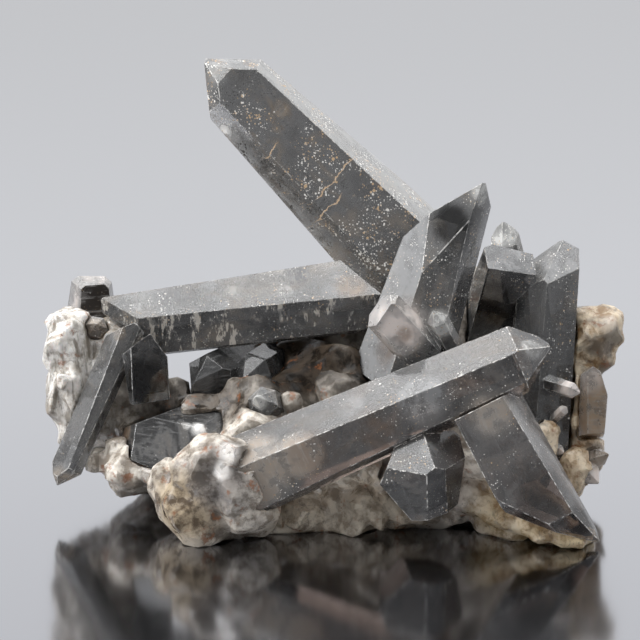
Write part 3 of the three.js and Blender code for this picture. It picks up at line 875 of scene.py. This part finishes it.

# %% [markdown]
# ## The rock's finish
# The rock is cream where fresh and tan at its right end, where iron has seeped in. Painted shade makes it
# nearly black in the hollow between the crystals. It is glassy grey where it passes into their roots,
# with painted white highlights there. Each of these is a place with a dark and a light tone, and one
# cloudy noise mixes the two everywhere. Grey runs upright between the fibres of the left end, partly
# dark cracks and partly painted shade in the grooves, and rust dries in patches all over. A little light
# goes into the stone, as it does into feldspar.

# %% Rock finish
# dark and light tone of each part of the rock
CREAM = ("#9a9084", "#e0d9ce")
TAN = ("#a08564", "#e6d6bc")
ROCK_PLACES = [
    (("#b9b3a9", "#f4f1ec"), [(-46, 0, 27, 13, 1.0), (-44, 0, 14, 8, 0.8)]),
    (("#5a4c3c", "#b5a48a"), [(-25.5, -23, 6.5, 10, 1.0)]),
    (("#57514c", "#8f8984"), [(-18, -24, 11.5, 8, 1.0), (-27, -9, 11, 8, 0.8)]),
    # painted shade, dark, in the hollow under the lying crystal, around the low glassy one
    (("#37322d", "#6f665c"), [(-21, -5, 19, 8, 1.0), (-15, -9, 18.5, 6, 1.0), (-27, -2, 17, 6, 0.9)]),
    # painted white highlights on the glassy root of the front crystal and the stone beside it
    (("#ddd8d2", "#fbf9f6"), [
        (-17.2, -24.7, 17, 3.0, 1.0), (-18.5, -25.5, 13.5, 2.2, 0.9), (-33, -14, 11, 3, 0.7),
    ]),
    (("#968a79", "#d6cbb8"), [(-5.9, -19.6, 4, 9, 0.9), (8, -18, 4, 10, 0.9), (-1, -17, 2, 8, 0.8)]),
    (("#a98f68", "#e0cda8"), [(27, -20, 5, 7, 1.0), (33, -22, 3.5, 7, 1.0), (40, -25, 2, 7, 1.0)]),
    (("#e2d8ca", "#fbf5ea"), [(48, 3, 32, 4.5, 0.8), (44, -2, 8, 2.5, 0.5)]),
    # the hollow, painted in shade nearly black, comes last, because its mask also takes the shine off the
    # stone
    (("#171411", "#3b3229"), [
        (-6, 1, 24, 17, 1.0), (8, 0, 25, 15, 1.0), (-18, 4, 21, 9, 1.0), (-31, -1, 15, 7, 0.8),
    ]),
]
GLASSY_GRAIN = "#5f5952"
DARK_SEAM = "#4d4136"
FIBRE_CRACK_AND_SHADE = "#7d7468"
RUST = "#8a5530"
STONE_CLOUD = 2.4 * MM
STONE_GRAIN = 1.7 * MM
GLASS_PATCH = 7 * MM
TAN_START = (30 * MM, 38 * MM)
SEAM_SPREAD = 2.6 * MM
FIBRE_WIDTH = 1.2 * MM
FIBRE_SLENDER = 9.0
STONE_RELIEF = 0.25 * MM
# how far light goes into the stone
LIGHT_REACH = 1.2 * MM

stone = bpy.data.materials.new("granular_feldspar_rock")
stone.use_nodes = True
tree = stone.node_tree
tree.nodes.clear()
place = add(tree, "TexCoord", out="Object")
x_place = add(tree, "SeparateXYZ", [place])
fine_settings = {"Vector": place, "Scale": 1 / STONE_CLOUD, "Detail": 7.0, "Roughness": 0.62}
fine = add(tree, "TexNoise", fine_settings)
grains = add(tree, "TexVoronoi", {"Vector": place, "Scale": 1 / STONE_GRAIN}, out="Color")
grain_tone = add(tree, "SeparateColor", [grains])
tone = add(tree, "Math", [grain_tone, 0.12, fine], **TIMES_PLUS)
tone = add(tree, "MapRange", [tone, 0.42, 0.7], **SMOOTH)
ragged = add(tree, "Math", [fine, 2 * RAGGED_EDGE, -RAGGED_EDGE], **TIMES_PLUS)
tan_share = add(tree, "MapRange", [x_place, *TAN_START], **SMOOTH)
fibre_share = add(tree, "MapRange", [x_place, *FIBRE_END, 0.0, 0.8], **SMOOTH)
body = add(tree, "Mix", {0: tone, 6: colour(CREAM[0]), 7: colour(CREAM[1])}, **OVER)
tan_tone = add(tree, "Mix", {0: tone, 6: colour(TAN[0]), 7: colour(TAN[1])}, **OVER)
body = add(tree, "Mix", {0: tan_share, 6: body, 7: tan_tone}, **OVER)
broad = add(tree, "TexNoise", {"Vector": place, "Scale": 1 / GLASS_PATCH, "Detail": 5.0})
glass_share = add(tree, "MapRange", [broad, 0.5, 0.6, 0.0, 0.7], **SMOOTH)
body = add(tree, "Mix", {0: glass_share, 6: body, 7: colour(GLASSY_GRAIN)}, **OVER)
for (dark, light), spots in ROCK_PLACES:
    mask = balls(tree, place, ragged, spots)
    place_tone = add(tree, "Mix", {0: tone, 6: colour(dark), 7: colour(light)}, **OVER)
    body = add(tree, "Mix", {0: mask, 6: body, 7: place_tone}, **OVER)
# the stone of the hollow, the last place, is painted in shade and hardly shines
shine = add(tree, "MapRange", [mask, 0.0, 1.0, 0.5, 0.08])
seam_settings = {"Detail": 5.0, "Roughness": 0.8, "Distortion": 1.2}
seam = add(tree, "TexNoise", {"Vector": place, "Scale": 1 / SEAM_SPREAD, **seam_settings})
seams = add(tree, "MapRange", [seam, 0.45, 0.39, 0.0, 0.45], **SMOOTH)
body = add(tree, "Mix", {0: seams, 6: body, 7: colour(DARK_SEAM)}, **OVER)
# grey between the fibres, which run upright: dark cracks and painted shade in the grooves
drawn_up = {"Vector": place, "Scale": (1.0, 1.0, FIBRE_SLENDER)}
upright = add(tree, "Mapping", drawn_up, vector_type="TEXTURE")
fibre_settings = {"Vector": upright, "Scale": 1 / FIBRE_WIDTH, "Detail": 4.0, "Roughness": 0.6}
fibres = add(tree, "TexNoise", fibre_settings)
fibre_cracks_and_shade = add(tree, "MapRange", [fibres, 0.48, 0.36], **SMOOTH)
crack_and_shade_share = add(tree, "Math", [fibre_cracks_and_shade, fibre_share], **TIMES)
body = add(tree, "Mix", {0: crack_and_shade_share, 6: body, 7: colour(FIBRE_CRACK_AND_SHADE)}, **OVER)
rust_share = iron_stain(tree, place, 0.7)
body = add(tree, "Mix", {0: rust_share, 6: body, 7: colour(RUST)}, **OVER)
dullness = add(tree, "MapRange", [fine, 0.38, 0.62, 0.16, 0.5], **SMOOTH)
grooved = add(tree, "Math", [fibres, fibre_share, fine], **TIMES_PLUS)
bumped = add(tree, "Bump", {"Height": grooved, "Strength": 0.5, "Distance": STONE_RELIEF})
shader = add(tree, "BsdfPrincipled", {
    "Base Color": body, "Roughness": dullness, "Specular IOR Level": shine, "Normal": bumped,
    "Subsurface Weight": 0.35, "Subsurface Radius": (1.0, 0.85, 0.7), "Subsurface Scale": LIGHT_REACH,
})
add(tree, "OutputMaterial", [shader])
finish_piece(rock, stone, "matrix_rock")
